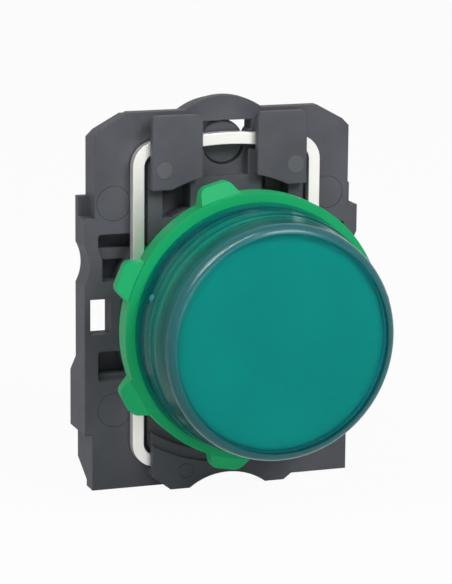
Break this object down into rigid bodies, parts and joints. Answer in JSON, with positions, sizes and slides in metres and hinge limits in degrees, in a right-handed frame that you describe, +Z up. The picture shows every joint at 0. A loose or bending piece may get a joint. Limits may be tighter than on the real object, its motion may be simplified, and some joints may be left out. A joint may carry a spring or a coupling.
{
  "type": "panel pilot light",
  "caption": "Round green pilot light for a standard panel hole: screw-on lens cap, lugged bezel, moulded fixing collar with spring clip and clamp screw, and a screw-terminal lamp module.",
  "frame": {"origin": "on the lamp axis, at the panel's front face, where the gasket seats", "axes": "+Z up, +Y along the lamp axis into the panel, so the lens faces -Y"},
  "size_m": [0.0302, 0.0394, 0.041],
  "materials": {
    "green_plastic": "satin moulded",
    "lens": "polished transparent plastic",
    "seal_rubber": "matte",
    "diffuser_plastic": "satin translucent",
    "collar_plastic": "fine moulded texture",
    "clip_metal": "nickel plated",
    "screw_metal": "zinc plated",
    "module_plastic": "fine moulded texture",
    "board": "solder mask",
    "lamp_lens": "clear moulded",
    "lead_metal": "tinned",
    "resistor_body": "coated",
    "capacitor_body": "dipped",
    "chip_body": "moulded",
    "strip_brass": "plated"
  },
  "bodies": {
    "lamp_body": {"bezel_body": "green_plastic", "diffuser": "diffuser_plastic", "panel_gasket": "seal_rubber", "fixing_collar": "collar_plastic", "retaining_clip": "clip_metal", "module_housing": "module_plastic", "module_cover": "module_plastic", "circuit_board": "board", "led_board": "board", "led_lamp": "lamp_lens", "led_leads": "lead_metal", "series_resistor": "resistor_body", "surge_capacitor": "capacitor_body", "rectifier": "chip_body", "terminal_strip_upper": "strip_brass", "terminal_strip_lower": "strip_brass"},
    "seal_ring": {"cap_seal": "seal_rubber"},
    "cap": {"lens_cap": "lens"},
    "shoe": {"clamp_shoe": "collar_plastic"},
    "clamp": {"clamp_screw": "screw_metal"},
    "upper_saddle": {"saddle_upper": "screw_metal"},
    "upper_screw": {"terminal_screw_upper": "screw_metal"},
    "lower_saddle": {"saddle_lower": "screw_metal"},
    "lower_screw": {"terminal_screw_lower": "screw_metal"}
  },
  "joints": [
    {"name": "cap_lift", "type": "slide", "parent": "lamp_body", "child": "seal_ring", "axis": [0, -1, 0], "range_m": [0, 0.0045]},
    {"name": "cap_turn", "type": "hinge", "parent": "seal_ring", "child": "cap", "pos_m": [0, 0, 0], "axis": [0, -1, 0], "range_deg": [0, 1080.18]},
    {"name": "clamp_travel", "type": "slide", "parent": "lamp_body", "child": "shoe", "axis": [0, -1, 0], "range_m": [-0.0008, 0.0006]},
    {"name": "clamp_turn", "type": "hinge", "parent": "shoe", "child": "clamp", "pos_m": [0, 0.01, 0.0174], "axis": [0, -1, 0], "range_deg": [-576.18, 432.18]},
    {"name": "upper_saddle_travel", "type": "slide", "parent": "lamp_body", "child": "upper_saddle", "axis": [0, 1, 0], "range_m": [0, 0.00225]},
    {"name": "upper_screw_turn", "type": "hinge", "parent": "upper_saddle", "child": "upper_screw", "pos_m": [0, 0.0225, 0.0096], "axis": [0, 1, 0], "range_deg": [0, 1620.18]},
    {"name": "lower_saddle_travel", "type": "slide", "parent": "lamp_body", "child": "lower_saddle", "axis": [0, 1, 0], "range_m": [0, 0.00225]},
    {"name": "lower_screw_turn", "type": "hinge", "parent": "lower_saddle", "child": "lower_screw", "pos_m": [0, 0.0225, -0.0096], "axis": [0, 1, 0], "range_deg": [0, 1620.18]}
  ],
  "couplings": [
    {"joint": "cap_turn", "follows": "cap_lift", "rad_per_m": 4188.8},
    {"joint": "clamp_turn", "follows": "clamp_travel", "rad_per_m": 12566},
    {"joint": "upper_screw_turn", "follows": "upper_saddle_travel", "rad_per_m": 12566},
    {"joint": "lower_screw_turn", "follows": "lower_saddle_travel", "rad_per_m": 12566}
  ]
}
